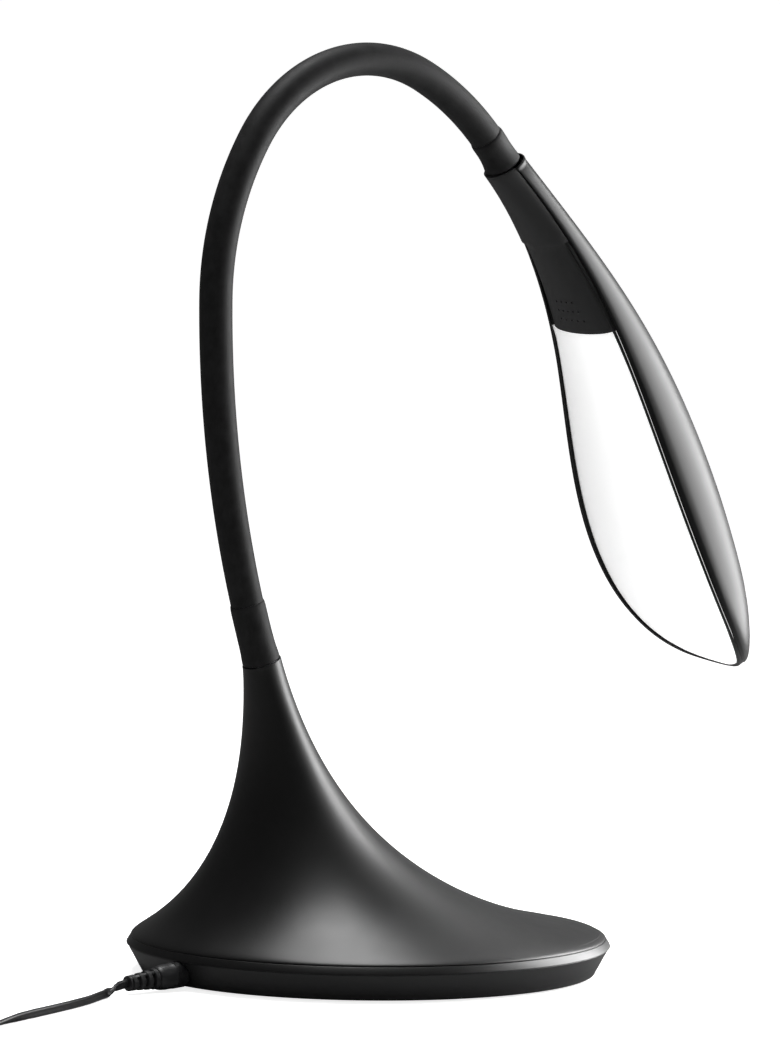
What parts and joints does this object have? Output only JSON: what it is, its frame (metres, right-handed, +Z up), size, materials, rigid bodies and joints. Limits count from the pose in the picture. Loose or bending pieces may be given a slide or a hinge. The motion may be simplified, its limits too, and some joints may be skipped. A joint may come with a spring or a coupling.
{
  "type": "gooseneck desk lamp",
  "caption": "Black LED desk lamp: round weighted base sweeping up into an offset column, flexible sleeved neck, and a leaf-shaped head with a white diffuser, with DC lead and wall adapter.",
  "frame": {"origin": "centre of the round base on its resting face, the underside of the anti-slip pad", "axes": "+Z up from the desk, +X from the column towards the head, +Y to the lamp's left; the lamp without its lead is symmetric about y = 0"},
  "size_m": [0.5926, 0.1936, 0.3724],
  "materials": {
    "satin_black_plastic": "soft-touch satin black moulding",
    "matte_black_plastic": "fine-textured black moulding",
    "silicone_sleeve": "matte black silicone sleeve",
    "rubber_pad": "matte black anti-slip rubber",
    "plug_rubber": "semi-matte black overmould",
    "cord_jacket": "semi-gloss black PVC",
    "steel": "plain turned steel",
    "screw_steel": "zinc plated",
    "brass": "plain brass",
    "plated_barrel": "nickel plated",
    "jack_plastic": "black moulding",
    "wire_insulation": "red and black insulation",
    "circuit_board": "green solder mask",
    "component_plastic": "component bodies",
    "opal_plastic": "opal white diffuser",
    "white_board": "white solder mask",
    "led_phosphor": "LED phosphor",
    "aluminium_sheet": "bare sheet"
  },
  "bodies": {
    "base": {"base_shell": "satin_black_plastic", "base_tray": "matte_black_plastic", "antislip_pad": "rubber_pad", "ballast_plate": "steel", "ballast_screws": "screw_steel", "tray_screws": "screw_steel", "dc_jack": "jack_plastic", "jack_wires": "wire_insulation", "driver_board": "circuit_board", "board_parts": "component_plastic", "board_standoffs": "brass", "board_screws": "screw_steel", "touch_pad": "brass", "hose_nut": "steel", "hose_washer": "steel", "base_wires": "wire_insulation", "threaded_pipe": "steel", "neck_cuff_lower": "silicone_sleeve", "hose_foot": "steel", "plug_body": "plug_rubber", "plug_relief": "plug_rubber", "plug_barrel": "plated_barrel", "cord_lead": "cord_jacket", "cord_coil": "cord_jacket", "cord_tail": "cord_jacket", "coil_tie": "matte_black_plastic", "adapter_body": "satin_black_plastic", "adapter_prongs": "brass"},
    "neck_1": {"hose_link_1": "steel", "sleeve_1": "silicone_sleeve", "neck_wires_1": "wire_insulation"},
    "neck_2": {"hose_link_2": "steel", "sleeve_2": "silicone_sleeve", "neck_wires_2": "wire_insulation"},
    "neck_3": {"hose_link_3": "steel", "sleeve_3": "silicone_sleeve"},
    "neck_4": {"hose_link_4": "steel", "sleeve_4": "silicone_sleeve", "neck_wires_3": "wire_insulation"},
    "neck_5": {"hose_link_5": "steel", "sleeve_5": "silicone_sleeve"},
    "head": {"neck_cuff_upper": "silicone_sleeve", "hose_tip": "steel", "sleeve_6": "silicone_sleeve", "neck_wires_4": "wire_insulation", "head_shell": "satin_black_plastic", "head_cover": "matte_black_plastic", "light_frame": "matte_black_plastic", "diffuser": "opal_plastic", "led_board": "white_board", "led_chips": "led_phosphor", "heat_spreader": "aluminium_sheet", "light_screws": "screw_steel", "hose_clamp": "steel", "clamp_screws": "screw_steel", "head_wires": "wire_insulation"}
  },
  "joints": [
    {"name": "lower_bend", "type": "hinge", "parent": "base", "child": "neck_1", "pos_m": [-0.07043, 0, 0.18183], "axis": [0, 1, 0], "range_deg": [-20, 7], "deforming": ["sleeve_1", "neck_wires_1"]},
    {"name": "lower_sway", "type": "hinge", "parent": "neck_1", "child": "neck_2", "pos_m": [-0.07891, 0, 0.24241], "axis": [0.9976, 0, 0.0695], "range_deg": [-22, 22], "deforming": ["sleeve_2", "neck_wires_1"]},
    {"name": "lower_bend_follow", "type": "hinge", "parent": "neck_2", "child": "neck_3", "pos_m": [-0.07518, 0, 0.30609], "axis": [0, 1, 0], "range_deg": [-20, 7], "deforming": ["sleeve_3", "neck_wires_2"]},
    {"name": "upper_bend", "type": "hinge", "parent": "neck_3", "child": "neck_4", "pos_m": [-0.04482, 0, 0.35364], "axis": [0, 1, 0], "range_deg": [-26, 4], "deforming": ["sleeve_4", "neck_wires_3"]},
    {"name": "upper_sway", "type": "hinge", "parent": "neck_4", "child": "neck_5", "pos_m": [0.00033, 0, 0.3654], "axis": [-0.1149, 0, -0.9934], "range_deg": [-25, 25], "deforming": ["sleeve_5", "neck_wires_3"]},
    {"name": "upper_bend_follow", "type": "hinge", "parent": "neck_5", "child": "head", "pos_m": [0.04041, 0, 0.34711], "axis": [0, 1, 0], "range_deg": [-26, 4], "deforming": ["sleeve_6", "neck_wires_4"]}
  ],
  "couplings": [
    {"joint": "lower_bend_follow", "follows": "lower_bend", "ratio": 1},
    {"joint": "upper_bend_follow", "follows": "upper_bend", "ratio": 1}
  ]
}
